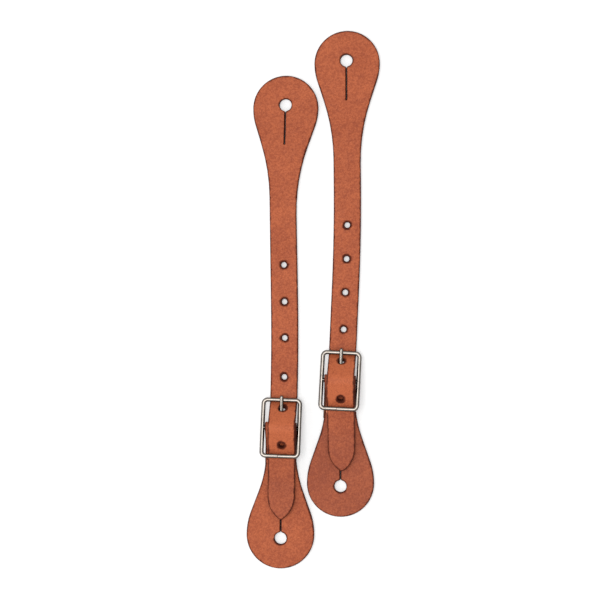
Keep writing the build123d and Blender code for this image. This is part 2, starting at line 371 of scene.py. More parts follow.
def pick(piece, kind, wanted):
    """Select the points, edges or faces that a test picks out, in edit mode."""
    bpy.ops.mesh.select_mode(type=kind)
    bpy.ops.mesh.select_all(action="DESELECT")
    mesh = bmesh.from_edit_mesh(piece.data)
    for item in {"VERT": mesh.verts, "EDGE": mesh.edges, "FACE": mesh.faces}[kind]:
        item.select_set(wanted(item))
    if kind == "VERT":
        mesh.select_flush(True)
    bmesh.update_edit_mesh(piece.data)


def pick_levels(piece, levels):
    """Select the points of a piece that lie at some heights, in edit mode."""
    pick(piece, "VERT", lambda item: any(abs(item.co.z / MM - level) < SAME_LEVEL for level in levels))


def is_rim(item):
    """An edge where a level face meets an upright one."""
    if len(item.link_faces) != 2:
        return False
    tilts = sorted(abs(face.normal.z) for face in item.link_faces)
    return tilts[0] < RIM_WALL and tilts[1] > LEVEL_FACE


def round_rims(piece, radius):
    """Round the edges where level faces meet walls."""
    edit(piece)
    pick(piece, "EDGE", is_rim)
    bpy.ops.mesh.bevel(offset=radius * MM, segments=EDGE_STEPS, affect="EDGES", clamp_overlap=False)
    done()


def blank(name, outline, thickness, edge_round):
    """A flat piece of leather with rounded edges, cut to an outline."""
    piece = draw_line(name, outline, closed=True)
    edit(piece)
    bpy.ops.mesh.edge_face_add()
    bpy.ops.mesh.extrude_region_move(TRANSFORM_OT_translate={"value": UP * thickness * MM})
    bpy.ops.mesh.select_all(action="SELECT")
    bpy.ops.transform.translate(value=UP * -thickness / 2 * MM)
    bpy.ops.mesh.normals_make_consistent(inside=False)
    done()
    round_rims(piece, edge_round)
    return piece


def cut_away(piece, cutter):
    """Cut one piece out of another, and throw the cutter away."""
    apply_modifier(piece, "BOOLEAN", operation="DIFFERENCE", solver="EXACT", object=cutter)
    bpy.data.objects.remove(cutter)


def flare(cutter, size, rim, reach):
    """Widen both ends of a straight cutter in a smooth curve, then carry them on up and down."""
    for way in (1, -1):
        edit(cutter)
        pick(cutter, "FACE", lambda face: face.normal.z * way > LEVEL_FACE)
        height, grown = 0.0, 0.0
        for step in range(1, RIM_STEPS + 1):
            angle = pi / 2 * step / RIM_STEPS
            rise, growth = rim * sin(angle), rim * (1 - cos(angle))
            grow = [(half + growth) / (half + grown) for half in size]
            shift = UP * way * (rise - height) * MM
            bpy.ops.mesh.extrude_region_move(TRANSFORM_OT_translate={"value": shift})
            bpy.ops.transform.resize(value=(*grow, 1))
            height, grown = rise, growth
        bpy.ops.mesh.extrude_region_move(TRANSFORM_OT_translate={"value": UP * way * reach * MM})
        done()


def punch_out(piece, spots, radius, rim):
    """Punch round holes with smooth rims through flat leather."""
    straight = LEATHER - 2 * (rim - RIM_LIFT)
    for x, y in spots:
        deselect()
        bpy.ops.mesh.primitive_cylinder_add(
            vertices=HOLE_SIDES, radius=radius * MM, depth=straight * MM, location=Vector((x, y, 0)) * MM
        )
        cutter = bpy.context.object
        settle(cutter)
        flare(cutter, (radius, radius), rim, LEATHER)
        cut_away(piece, cutter)


def drill(piece, spots, radius, bottom, top):
    """Cut plain upright holes in a piece."""
    for x, y in spots:
        deselect()
        middle = Vector((x, y, (top + bottom) / 2)) * MM
        bpy.ops.mesh.primitive_cylinder_add(
            vertices=HOLE_SIDES, radius=radius * MM, depth=(top - bottom) * MM, location=middle
        )
        cut_away(piece, bpy.context.object)


def shaped_punch(name, outline_at, rim):
    """A cutter with an outline at each height, whose ends flare so that the hole's rims are smooth."""
    straight = LEATHER / 2 + RIM_LIFT - rim
    curve = [pi / 2 * step / RIM_STEPS for step in range(RIM_STEPS + 1)]
    upper = [(straight + rim * sin(angle), rim * (1 - cos(angle))) for angle in curve]
    upper.append((2 * LEATHER, rim))
    levels = [(-height, grown) for height, grown in reversed(upper)] + upper
    loops = []
    for height, grown in levels:
        grown_outline = [g._replace(radius=g.radius + g.turn * grown) for g in outline_at(height)]
        loop = draw_line(name, grown_outline, closed=True, angle=PUNCH_ANGLE, step=WIDEST)
        loop.location.z = height * MM
        settle(loop)
        loops.append(loop)
    for loop in loops:
        loop.select_set(True)
    bpy.ops.object.join()
    punch = bpy.context.object
    edit(punch)
    for (low, _), (high, _) in zip(levels, levels[1:]):
        pick_levels(punch, (low, high))
        bpy.ops.mesh.bridge_edge_loops()
    for end in (levels[0][0], levels[-1][0]):
        pick_levels(punch, (end,))
        bpy.ops.mesh.edge_face_add()
    bpy.ops.mesh.select_all(action="SELECT")
    bpy.ops.mesh.normals_make_consistent(inside=False)
    done()
    return punch


def cut_button_hole(piece, centre, lean, offset, slit_end, rim):
    """A keyhole: a round hole for a button, and the slit below it that lets the button through."""

    def place(x, y):
        dx, dy = turned((x, y), lean)
        return centre[0] + dx, centre[1] + dy

    def keyhole(height):
        half = (SLIT_WIDTH if height > 0 else SLIT_FOOT) / 2
        corner_x = half + KEYHOLE_CORNER
        corner_y = offset[1] - sqrt((BUTTON_HOLE_R + KEYHOLE_CORNER) ** 2 - corner_x**2)
        return [
            Guide(*place(*offset), BUTTON_HOLE_R, 1),
            Guide(*place(offset[0] - corner_x, corner_y), KEYHOLE_CORNER, -1),
            Guide(*place(offset[0], half - slit_end), half, 1),
            Guide(*place(offset[0] + corner_x, corner_y), KEYHOLE_CORNER, -1),
        ]

    cut_away(piece, shaped_punch("keyhole", keyhole, rim))


def frame_edges(piece, width):
    """A narrow band of leather along every edge and hole, on both faces."""
    edit(piece)
    pick(piece, "FACE", lambda face: abs(face.normal.z) > FLAT_FACE)
    bpy.ops.mesh.inset(thickness=width * MM, use_even_offset=True, use_boundary=True)
    done()


def cut_places(guides):
    """Where to cut flat leather across, so that it can follow the bends of its middle line."""
    runs = runs_between(guides)
    places = []
    for index, run in enumerate(runs):
        count = ceil((run.ends - run.begins) / CUT_STEP)
        places += [run.begins + (run.ends - run.begins) * i / count for i in range(count + 1)]
        if index + 1 < len(runs):
            bend = runs[index + 1].begins - run.ends
            step = min(CUT_STEP, guides[index + 1].radius * CUT_ANGLE)
            count = ceil(bend / step)
            places += [run.ends + bend * i / count for i in range(1, count)]
    return places


def cut_across(piece, guides):
    """Cut a flat piece into a fine grid."""
    low = min(v.co.y for v in piece.data.vertices)
    high = max(v.co.y for v in piece.data.vertices)
    columns = int(WIDEST / CUT_STEP)
    cuts = [((i * CUT_STEP, 0), (1, 0, 0)) for i in range(-columns, columns + 1)]
    cuts += [((0, y), (0, 1, 0)) for y in cut_places(guides) if low < y * MM < high]
    edit(piece)
    for (x, y), normal in cuts:
        bpy.ops.mesh.select_all(action="SELECT")
        bpy.ops.mesh.bisect(plane_co=(x * MM, y * MM, 0), plane_no=normal, threshold=SAME_CUT * MM)
    done()


def clean(piece):
    """Merge points that are all but in one place, and close the hairline gaps that leaves."""
    edit(piece)
    bpy.ops.mesh.remove_doubles(threshold=SAME_POINT * MM)
    bpy.ops.mesh.dissolve_degenerate(threshold=SHORTEST_EDGE * MM)
    bpy.ops.mesh.select_all(action="SELECT")
    bpy.ops.mesh.fill_holes(sides=4)
    done()


def mark_leather(piece, half_at, hide_at, painted_light_and_tone_at):
    """Keep each point's place on the hide, its distance from an edge, which face it is on and its tone mark:
    painted light and shade on long straps, own tone on short ones.
    """
    mesh = piece.data
    walls = [list(face.vertices) for face in mesh.polygons if abs(face.normal.z) < EDGE_WALL]
    tree = BVHTree.FromPolygons([v.co.copy() for v in mesh.vertices], walls)
    mesh.attributes.new("laid_flat", "FLOAT_VECTOR", "POINT")
    for name in ("from_edge", "grain_side", "painted_light_and_tone"):
        mesh.attributes.new(name, "FLOAT", "POINT")
    names = ("laid_flat", "from_edge", "grain_side", "painted_light_and_tone")
    flat, edge, side, painted_light_and_tone = (mesh.attributes[name].data for name in names)
    for index, vertex in enumerate(mesh.vertices):
        level = Vector((vertex.co.x, vertex.co.y, 0))
        flat[index].vector = vertex.co + Vector((hide_at * MM, 0, 0))
        edge[index].value = tree.find_nearest(level)[3] / MM
        side[index].value = vertex.co.z / (LEATHER / 2 * MM)
        painted_light_and_tone[index].value = painted_light_and_tone_at(vertex.co.y / MM)
        vertex.co.z *= half_at(vertex.co.y / MM) / (LEATHER / 2)


def place_on(guides, runs, y):
    """Where a distance along the flat leather comes to lie, seen from the side, and its heading there."""
    index = next((i for i, run in enumerate(runs) if y <= run.ends), len(runs) - 1)
    run = runs[index]
    if index == 0 or y >= run.begins:
        reach = y - run.begins
        return run.start[0] + reach * cos(run.heading), run.start[1] + reach * sin(run.heading), run.heading
    guide, before = guides[index], runs[index - 1]
    heading = before.heading + guide.turn * (y - before.ends) / guide.radius
    return *touch(guide, heading), heading


def bend_along(piece, guides):
    """Bend a flat piece so that its middle follows a line seen from the side."""
    runs = runs_between(guides)
    for vertex in piece.data.vertices:
        x, y, z = vertex.co / MM
        along, height, heading = place_on(guides, runs, y)
        vertex.co = Vector((x, along - z * sin(heading), height + z * cos(heading))) * MM


def put_in_place(piece, strap):
    """Move a piece from its strap's own frame to where that strap's centre bar is."""
    low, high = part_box(f"{strap['name']}_centre_bar")
    middle = (low + high) / 2
    piece.location = (middle.x, middle.y, 0)
    piece.rotation_euler = (0, 0, radians(strap["turn"]))
    settle(piece)


def smooth(piece):
    make_active(piece)
    bpy.ops.object.shade_smooth()
    apply_modifier(piece, "WEIGHTED_NORMAL", mode="FACE_AREA", weight=50)


# ---------------------------------------------------------------- straps


def paddle(centre, lean, crown, side, flare, flare_at, neck):
    """Guides up one flank of a paddle, over its crown and down the other flank."""

    def place(x, y):
        dx, dy = turned((x, y), lean)
        return centre[0] + dx, centre[1] + dy

    return [
        Guide(*place(neck + flare, -flare_at), flare, -1),
        Guide(*place(crown - side, 0), side, 1),
        Guide(*centre, crown, 1),
        Guide(*place(side - crown, 0), side, 1),
        Guide(*place(-neck - flare, -flare_at), flare, -1),
    ]


def long_side_guides():
    """The long strap from its tip to its paddle: over the neck, over the fold, down to the table."""
    lift = LEATHER + LAYER_GAP
    hump_r = WIRE_R + FOLD_FIT + SKIVED + LAYER_GAP + LEATHER / 2
    half = LEATHER / 2
    return [
        Guide(LONG_LINE_ENDS[0], half + lift, 0, 1),
        Guide(RAMP_FOOT_ALONG, half + RAMP_FOOT_R, RAMP_FOOT_R - lift, 1),
        Guide(NECK_BEND_ALONG, NECK_BEND_HEIGHT, NECK_BEND_R - lift, 1),
        Guide(0, BAR_HEIGHT, hump_r, -1),
        Guide(TABLE_BEND_ALONG, half + TABLE_BEND_R, TABLE_BEND_R, 1),
        Guide(LONG_LINE_ENDS[1], half, 0, 1),
    ]


def short_side_guides():
    """The short strap from its paddle: up to the bar, round it, and back as a flap on the table."""
    fold_r = WIRE_R + FOLD_FIT + SKIVED / 2
    half = LEATHER / 2
    return [
        Guide(SHORT_LINE_START, half, 0, 1),
        Guide(RAMP_FOOT_ALONG, half + RAMP_FOOT_R, RAMP_FOOT_R, 1),
        Guide(NECK_BEND_ALONG, NECK_BEND_HEIGHT, NECK_BEND_R, 1),
        Guide(0, BAR_HEIGHT, fold_r, -1),
        Guide(FLAP_BEND_ALONG, SKIVED / 2 + FLAP_BEND_R, FLAP_BEND_R, -1),
        Guide(FLAP_END_ALONG, FEATHER / 2, 0, 1),
    ]


def flat_axis(strap, runs):
    """The middle line of the long strap when it is laid flat, from its tip to its paddle."""
    foot = turned((0, -LONG_PADDLE["flare_at"]), strap["long_lean"])
    centre = flat_centre(strap, runs)
    over_bar = (runs[2].ends + runs[3].begins) / 2
    curve = flat_at(runs[4], strap["curve_start"])
    return [
        Guide(strap["tip"][0], flat_at(runs[0], strap["tip"][1]), 0, 1, STRAP_HALF),
        Guide(strap["shift"] + SWAY_R, over_bar, SWAY_R, -1, STRAP_HALF),
        Guide(strap["shift"] - strap["curve_r"], curve, strap["curve_r"], 1, STRAP_HALF),
        Guide(centre[0] + foot[0], centre[1] + foot[1], 0, 1, STRAP_HALF),
    ]


def flat_centre(strap, runs):
    """The middle of the long strap's paddle, on the flat leather."""
    return strap["long_centre"][0], flat_at(runs[4], strap["long_centre"][1])


def tip_guides(strap, axis):
    """The ogive tip: its left side, its rounded point and its right side."""
    lean = degrees(runs_between(axis)[0].heading) - 90
    across = TIP_SIDE_R - STRAP_HALF
    shoulder = strap["tip_round"] + sqrt((TIP_SIDE_R - strap["tip_round"]) ** 2 - across**2)

    def place(x, y):
        dx, dy = turned((x, y), lean)
        return axis[0].x + dx, axis[0].y + dy

    return [
        Guide(*place(across, shoulder), TIP_SIDE_R, 1),
        Guide(*place(0, strap["tip_round"]), strap["tip_round"], 1),
        Guide(*place(-across, shoulder), TIP_SIDE_R, 1),
    ]


def long_outline(strap, runs, axis):
    """Guides round the long strap: up its right side, round the paddle, down its left side to the tip."""
    head = paddle(flat_centre(strap, runs), strap["long_lean"], strap["long_crown"], **LONG_PADDLE)
    return beside(axis[1:3], -1) + head + backwards(beside(axis[1:3], 1)) + tip_guides(strap, axis)


def ramp(value, low, high):
    """How far a value is from low to high, from 0 to 1."""
    return max(0.0, min(1.0, (value - low) / (high - low)))


def long_strap_painted_light_and_shade(strap, runs):
    """Painted light on the long strap where it rises through the buckle, and painted shade towards its tip.
    """
    top = flat_at(runs[3], TONGUE_HOLE_ALONG)
    foot = flat_at(runs[2], strap["covered_hole"])

    def painted_light_and_tone_at(y):
        painted_hump_light = ramp(y, foot - HUMP_PAINTED_LIGHT_FADE, foot) * ramp(y, top + HUMP_PAINTED_LIGHT_FADE, top)
        painted_dark = ramp(y, foot - TIP_PAINTED_SHADE_STARTS, foot - TIP_PAINTED_SHADE_STARTS - TIP_PAINTED_SHADE_LENGTH)
        return painted_dark * TIP_PAINTED_SHADE - painted_hump_light * HUMP_PAINTED_LIGHT

    return painted_light_and_tone_at


def cut_tongue_room(piece):
    """The slanted room that the tongue needs, up through the strap."""
    deselect()
    bpy.ops.mesh.primitive_cube_add(size=1)
    room = bpy.context.object
    room.scale = Vector(TONGUE_ROOM) * MM
    settle(room)
    edit(room)
    pick(room, "EDGE", lambda item: abs((item.verts[0].co - item.verts[1].co).y) > MM)
    bpy.ops.mesh.bevel(offset=TONGUE_ROOM_CORNER * MM, segments=EDGE_STEPS, affect="EDGES")
    bpy.ops.mesh.select_all(action="SELECT")
    middle = Vector((0, TONGUE_ROOM[1] / 2, TONGUE_ROOM_MIDDLE)) * MM
    bpy.ops.transform.translate(value=middle)
    done()
    room.rotation_euler.x = radians(TONGUE_RISE - FRAME_TILT)
    room.location.z = BAR_HEIGHT * MM
    cut_away(piece, room)


def make_long_strap(strap, sizes):
    guides = long_side_guides()
    runs = runs_between(guides)
    axis = flat_axis(strap, runs)
    outline = long_outline(strap, runs, axis)
    piece = blank(f"{strap['name']}_long_strap", outline, LEATHER, sizes.edge_round / MM)
    frame_edges(piece, EDGE_BAND)
    cut_across(piece, guides)
    rim = sizes.rim_round / MM
    rows = [flat_at(runs[4], along) for along in strap["buckle_holes"]]
    rows += [flat_at(runs[3], TONGUE_HOLE_ALONG), flat_at(runs[2], strap["covered_hole"])]
    punch_out(piece, [(middle_x(axis, y), y) for y in rows], BUCKLE_HOLE_R, rim)
    centre = flat_centre(strap, runs)
    cut_button_hole(piece, centre, strap["long_lean"], strap["long_button"], strap["long_slit"], rim)
    clean(piece)
    mark_leather(piece, lambda y: LEATHER / 2, strap["hide_at"], long_strap_painted_light_and_shade(strap, runs))
    bend_along(piece, guides)
    cut_tongue_room(piece)
    clean(piece)
    smooth(piece)
    put_in_place(piece, strap)
    return piece


def short_thickness(runs):
    """Half the short strap's thickness at a distance along it: pared for the fold, feathered at its end."""
    stations = [runs[1].ends, runs[2].ends, runs[4].begins, runs[4].ends]
    halves = [LEATHER / 2, SKIVED / 2, SKIVED / 2, FEATHER / 2]

    def half_at(y):
        if y <= stations[0]:
            return halves[0]
        for (a, b), (thick, thin) in zip(zip(stations, stations[1:]), zip(halves, halves[1:])):
            if y <= b:
                return thick + (thin - thick) * (y - a) / (b - a)
        return halves[-1]

    return half_at


def short_outline(strap, runs, centre):
    """Guides round the short strap: round the flap's end, and round the paddle."""
    head = paddle(centre, 180 + strap["short_lean"], strap["short_crown"], **SHORT_PADDLE)
    fold = (runs[2].ends + runs[3].begins) / 2
    end = runs[4].ends
    return [
        Guide(FOLD_HALF, fold, 0, 1),
        Guide(FOLD_HALF - FLAP_CORNER, end - FLAP_CORNER, FLAP_CORNER, 1),
        Guide(FLAP_CORNER - FOLD_HALF, end - FLAP_CORNER, FLAP_CORNER, 1),
        Guide(-FOLD_HALF, fold, 0, 1),
    ] + head


def cut_tongue_slot(piece, runs, rim):
    """The slot in the fold that the tongue's eye turns in."""
    end = TONGUE_SLOT_LENGTH / 2
    top, bottom = flat_at(runs[2], -end), flat_at(runs[3], -end)
    radius = TONGUE_SLOT_WIDTH / 2
    slot = [Guide(0, bottom - radius, radius, 1), Guide(0, top + radius, radius, 1)]
    cut_away(piece, shaped_punch("tongue_slot", lambda height: slot, rim))


def make_short_strap(strap, sizes):
    guides = short_side_guides()
    runs = runs_between(guides)
    x, along = turned((0, -strap["short_reach"]), strap["short_lean"])
    centre = (x, flat_at(runs[0], along))
    outline = short_outline(strap, runs, centre)
    piece = blank(f"{strap['name']}_short_strap", outline, LEATHER, sizes.edge_round / MM)
    frame_edges(piece, EDGE_BAND)
    cut_across(piece, guides)
    lean = 180 + strap["short_lean"]
    rim = sizes.rim_round / MM
    cut_button_hole(piece, centre, lean, strap["short_button"], strap["short_slit"], rim)
    cut_tongue_slot(piece, runs, rim)
    clean(piece)
    mark_leather(piece, short_thickness(runs), strap["hide_at"] + SHORT_HIDE, lambda y: strap["short_wear"])
    bend_along(piece, guides)
    spots = [(side * RIVET_X, RIVET_ALONG) for side in (-1, 1)]
    drill(piece, spots, RIVET_R, -LEATHER, RIVET_TOP)
    drill(piece, spots, RIVET_HEAD_R, RIVET_TOP - RIVET_HEAD, RIVET_TOP + LEATHER)
    drill(piece, spots, RIVET_HEAD_R, -LEATHER, BURR_TOP)
    clean(piece)
    smooth(piece)
    put_in_place(piece, strap)
    return piece


# ---------------------------------------------------------------- buckles


def bent_wire(name):
    """A round wire bent into a level rectangle with rounded corners."""
    deselect()
    bpy.ops.mesh.primitive_plane_add(size=2 * MM)
    piece = bpy.context.object
    piece.name = name
    piece.scale = (FRAME_HALF_WIDTH, FRAME_HALF_LENGTH, 1)
    settle(piece)
    edit(piece)
    bpy.ops.mesh.select_all(action="SELECT")
    bpy.ops.mesh.bevel(offset=FRAME_CORNER * MM, segments=WIRE_CORNER_STEPS, affect="VERTICES")
    bpy.ops.mesh.delete(type="ONLY_FACE")
    done()
    bpy.ops.object.convert(target="CURVE")
    piece.data.bevel_depth = WIRE_R * MM
    piece.data.bevel_resolution = WIRE_ROUND_STEPS
    bpy.ops.object.convert(target="MESH")
    return piece


def part_seam(piece):
    """Part the bent wire at the slanted seam where its two ends meet."""
    deselect()
    bpy.ops.mesh.primitive_cube_add(size=1)
    seam = bpy.context.object
    seam.scale = Vector((SEAM_WIDTH, 4 * WIRE_R, 4 * WIRE_R)) * MM
    seam.rotation_euler.z = radians(SEAM_SLANT)
    seam.location = Vector((SEAM_X, -FRAME_HALF_LENGTH, 0)) * MM
    settle(seam)
    cut_away(piece, seam)


def paint_dark_sides(piece, rise_at):
    """Mark how much each point faces sideways, for painted shade: the plate is left bright above and below,
    and painted dark down its sides.
    """
    painted_dark = piece.data.attributes.new("painted_dark", "FLOAT", "POINT")
    for index, vertex in enumerate(piece.data.vertices):
        painted_dark.data[index].value = 1 - abs(rise_at(vertex))


def make_buckle_frame(strap):
    piece = bent_wire(f"{strap['name']}_buckle_wire")
    part_seam(piece)
    paint_dark_sides(piece, lambda vertex: vertex.co.z / (WIRE_R * MM))
    make_active(piece)
    bpy.ops.object.shade_smooth_by_angle(angle=SHARP_ANGLE)
    piece.rotation_euler.x = radians(-FRAME_TILT)
    piece.location.z = BAR_HEIGHT * MM
    settle(piece)
    put_in_place(piece, strap)
    return piece


def plated_copy(side, name, body):
    """A merged copy of one of the buckle's solids, marked for painted shade down its sides."""
    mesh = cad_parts[f"{side}_{name}"].data.copy()
    piece = bpy.data.objects.new(f"{side}_plated_{name}", mesh)
    bpy.context.scene.collection.objects.link(piece)
    clean(piece)
    paint_dark_sides(piece, lambda vertex: vertex.normal.z)
    make_active(piece)
    bpy.ops.object.shade_smooth_by_angle(angle=SHARP_ANGLE)
    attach(piece, f"{side}_{body}")
    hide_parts(f"{side}_{name}")
    return piece


def flex(piece):
    """Bake a strap's place into its mesh."""
    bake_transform(piece)


# ---------------------------------------------------------------- materials

# Patterns are laid out in millimetres, so a noise scale is in repeats to a millimetre.


def new_material(name):
    """An empty node material, with its output and its main shader."""
    material = bpy.data.materials.new(name)
    material.use_nodes = True
    tree = material.node_tree
    tree.nodes.clear()
    shader = tree.nodes.new("ShaderNodeBsdfPrincipled")
    output = tree.nodes.new("ShaderNodeOutputMaterial")
    tree.links.new(shader.outputs["BSDF"], output.inputs["Surface"])
    return material, tree, shader


def add_node(tree, kind, links=None, **settings):
    """Add a shader node, set its values and link its inputs."""
    node = tree.nodes.new(f"ShaderNode{kind}")
    for key, value in settings.items():
        setattr(node, key, value)
    for socket, source in (links or {}).items():
        target = node.inputs[socket]
        if isinstance(source, bpy.types.NodeSocket):
            tree.links.new(source, target)
        else:
            target.default_value = source
    return node


def scaled(tree, source, factor):
    """A vector in other units, so that patterns can be given in millimetres."""
    return add_node(tree, "VectorMath", {0: source, "Scale": factor}, operation="SCALE").outputs[0]


def noise(tree, vector, scale, detail, roughness=0.5):
    links = {"Vector": vector, "Scale": scale, "Detail": detail, "Roughness": roughness}
    return add_node(tree, "TexNoise", links).outputs["Fac"]


def spread(tree, value, low, high, to_low=0.0, to_high=1.0, smooth_step=False):
    """Map a value from one range to another."""
    links = {0: value, 1: low, 2: high, 3: to_low, 4: to_high}
    kind = "SMOOTHSTEP" if smooth_step else "LINEAR"
    return add_node(tree, "MapRange", links, interpolation_type=kind).outputs[0]


def arithmetic(tree, operation, a, b):
    return add_node(tree, "Math", {0: a, 1: b}, operation=operation).outputs[0]


def with_share(tree, value, extra, share):
    """A value with a share of another added to it."""
    return arithmetic(tree, "ADD", value, arithmetic(tree, "MULTIPLY", extra, share))


def mixed(tree, factor, a, b):
    node = add_node(tree, "Mix", None, data_type="RGBA")
    for socket, source in ((node.inputs[0], factor), (node.inputs[6], a), (node.inputs[7], b)):
        if isinstance(source, bpy.types.NodeSocket):
            tree.links.new(source, socket)
        else:
            socket.default_value = source
    return node.outputs[2]


def attribute(tree, name, output):
    return add_node(tree, "Attribute", None, attribute_name=name).outputs[output]


def leather_material(colours):
    """Russet harness leather: fine pored grain, mottling, burnished edges and a rough flesh side."""
    material, tree, shader = new_material("russet_harness_leather")
    place = scaled(tree, attribute(tree, "laid_flat", "Vector"), 1 / MM)
    from_edge = attribute(tree, "from_edge", "Fac")
    side = attribute(tree, "grain_side", "Fac")

    broad = noise(tree, place, 0.045, 3.0)
    mottle = noise(tree, place, 0.30, 4.0, 0.6)
    specks = noise(tree, place, 0.95, 2.0, 0.6)
    tone = arithmetic(tree, "MULTIPLY", spread(tree, broad, 0.35, 0.65), 0.27)
    tone = with_share(tree, tone, spread(tree, mottle, 0.38, 0.62), 0.23)
    tone = with_share(tree, tone, spread(tree, specks, 0.40, 0.60), 0.50)
    # Painted light and shade: long straps are painted brighter where they rise through the buckle and darker,
    # towards the worn colour, near their tips; short straps get their own darker tone
    painted_light_and_tone = attribute(tree, "painted_light_and_tone", "Fac")
    tone = arithmetic(tree, "SUBTRACT", tone, arithmetic(tree, "MULTIPLY", painted_light_and_tone, 0.6))
    grain = mixed(tree, tone, (*colours.grain_dark, 1), (*colours.grain_light, 1))
    grain = mixed(tree, arithmetic(tree, "MULTIPLY", painted_light_and_tone, 0.5), grain, (*colours.worn, 1))

    pores = add_node(tree, "TexVoronoi", {"Vector": place, "Scale": 1.1}, feature="DISTANCE_TO_EDGE")
    crease = spread(tree, pores.outputs["Distance"], 0.0, 0.12, smooth_step=True)
    grain = mixed(tree, spread(tree, crease, 0.0, 1.0, 0.22, 0.0), grain, (*colours.burnish, 1))

    fibres = noise(tree, place, 0.9, 5.0, 0.75)
    flesh = mixed(tree, spread(tree, fibres, 0.3, 0.7), (*colours.flesh_dark, 1), (*colours.flesh, 1))
    is_flesh = spread(tree, side, -0.35, -0.15, 1.0, 0.0)
    surface = mixed(tree, is_flesh, grain, flesh)

    worn = arithmetic(tree, "ADD", from_edge, spread(tree, mottle, 0.3, 0.7, -0.35, 0.35))
    burnished = spread(tree, worn, 0.15, 1.15, 1.0, 0.0, smooth_step=True)
    colour = mixed(tree, burnished, surface, (*colours.burnish, 1))
    tree.links.new(colour, shader.inputs["Base Color"])

    rough = spread(tree, mottle, 0.3, 0.7, 0.44, 0.56)
    rough = with_share(tree, rough, is_flesh, 0.3)
    rough = with_share(tree, rough, burnished, 0.35)
    tree.links.new(rough, shader.inputs["Roughness"])

    height = arithmetic(tree, "MULTIPLY", crease, 0.5)
    height = with_share(tree, height, specks, 0.7)
    height = with_share(tree, height, arithmetic(tree, "MULTIPLY", fibres, is_flesh), 3.0)
    bump = add_node(tree, "Bump", {"Strength": 0.6, "Distance": 0.00012, "Height": height})
    tree.links.new(bump.outputs[0], shader.inputs["Normal"])
    shader.inputs["Specular IOR Level"].default_value = 0.18
    return material


def nickel_material(colours):
    """Nickel plate with a little tarnish, bright on top, with painted shade down the wire's sides."""
    material, tree, shader = new_material("worn_nickel")
    place = scaled(tree, add_node(tree, "TexCoord").outputs["Object"], 1 / MM)
    cloud = noise(tree, place, 0.35, 3.0, 0.6)
    ripple = noise(tree, place, 0.55, 2.0, 0.6)
    stain = spread(tree, cloud, 0.45, 0.75, 0.0, 0.5, smooth_step=True)
    colour = mixed(tree, stain, (*colours.nickel, 1), (*colours.tarnish, 1))
    # Painted shade: the wire's sides are painted in the dark plate colour, in place of the dark reflections
    # there
    uneven = spread(tree, cloud, 0.3, 0.7, -0.06, 0.06)
    painted_dark = arithmetic(tree, "ADD", attribute(tree, "painted_dark", "Fac"), uneven)
    painted_dark = spread(tree, painted_dark, 0.04, 0.25, smooth_step=True)
    colour = mixed(tree, painted_dark, colour, (*colours.painted_side_shade, 1))
    tree.links.new(colour, shader.inputs["Base Color"])
    tree.links.new(spread(tree, cloud, 0.3, 0.7, 0.08, 0.2), shader.inputs["Roughness"])
    bump = add_node(tree, "Bump", {"Strength": 0.3, "Distance": 0.0001, "Height": ripple})
    tree.links.new(bump.outputs[0], shader.inputs["Normal"])
    shader.inputs["Metallic"].default_value = 1.0
    return material


def copper_material(colours):
    """Copper rivets: hammered, with a brown bloom."""
    material, tree, shader = new_material("rivet_copper")
    place = scaled(tree, add_node(tree, "TexCoord").outputs["Object"], 1 / MM)
    bloom = noise(tree, place, 0.8, 4.0, 0.6)
    dents = add_node(tree, "TexVoronoi", {"Vector": place, "Scale": 1.1}, feature="SMOOTH_F1")
    colour = mixed(tree, spread(tree, bloom, 0.35, 0.7), (*colours.copper, 1), (*colours.copper_dark, 1))
    tree.links.new(colour, shader.inputs["Base Color"])
    tree.links.new(spread(tree, bloom, 0.3, 0.7, 0.28, 0.5), shader.inputs["Roughness"])
    links = {"Strength": 0.5, "Distance": 0.0001, "Height": dents.outputs["Distance"]}
    bump = add_node(tree, "Bump", links)
    tree.links.new(bump.outputs[0], shader.inputs["Normal"])
    shader.inputs["Metallic"].default_value = 1.0
    return material


def give(piece, material):
    piece.data.materials.clear()
    piece.data.materials.append(material)


# ---------------------------------------------------------------- stage


def seen_directly(tree):
    """Whether a ray is the camera's own, or one that a mirror or glass sends on."""
    path = add_node(tree, "LightPath")
    mirrored = arithmetic(tree, "MAXIMUM", path.outputs["Is Glossy Ray"], path.outputs["Is Transmission Ray"])
    return arithmetic(tree, "MAXIMUM", path.outputs["Is Camera Ray"], mirrored)


def add_floor(stage):
    """A plain white table that keeps the straps' soft shadow."""
    deselect()
    bpy.ops.mesh.primitive_plane_add(size=stage.floor_size, location=(0, 0, -stage.floor_gap))
    floor = bpy.context.object
    floor.name = "table_top"
    material, tree, shader = new_material("white_table")
    shader.inputs["Base Color"].default_value = (*stage.floor_colour, 1)
    shader.inputs["Roughness"].default_value = 0.9
    shader.inputs["Specular IOR Level"].default_value = 0.0
    glow = add_node(tree, "Emission", {"Color": WHITE})
    glow_strength = arithmetic(tree, "MULTIPLY", seen_directly(tree), stage.floor_glow)
    tree.links.new(glow_strength, glow.inputs["Strength"])
    both = tree.nodes.new("ShaderNodeAddShader")
    output = next(n for n in tree.nodes if n.type == "OUTPUT_MATERIAL")
    tree.links.new(shader.outputs[0], both.inputs[0])
    tree.links.new(glow.outputs[0], both.inputs[1])
    tree.links.new(both.outputs[0], output.inputs["Surface"])
    give(floor, material)


def add_lamp(name, place, size, power):
    """A soft box that points at the straps."""
    deselect()
    bpy.ops.object.light_add(type="AREA", location=place)
    lamp = bpy.context.object
    lamp.name = name
    lamp.data.shape = "RECTANGLE"
    lamp.data.size, lamp.data.size_y = size
    lamp.data.energy = power
    lamp.rotation_euler = (-Vector(place)).to_track_quat("-Z", "Y").to_euler()


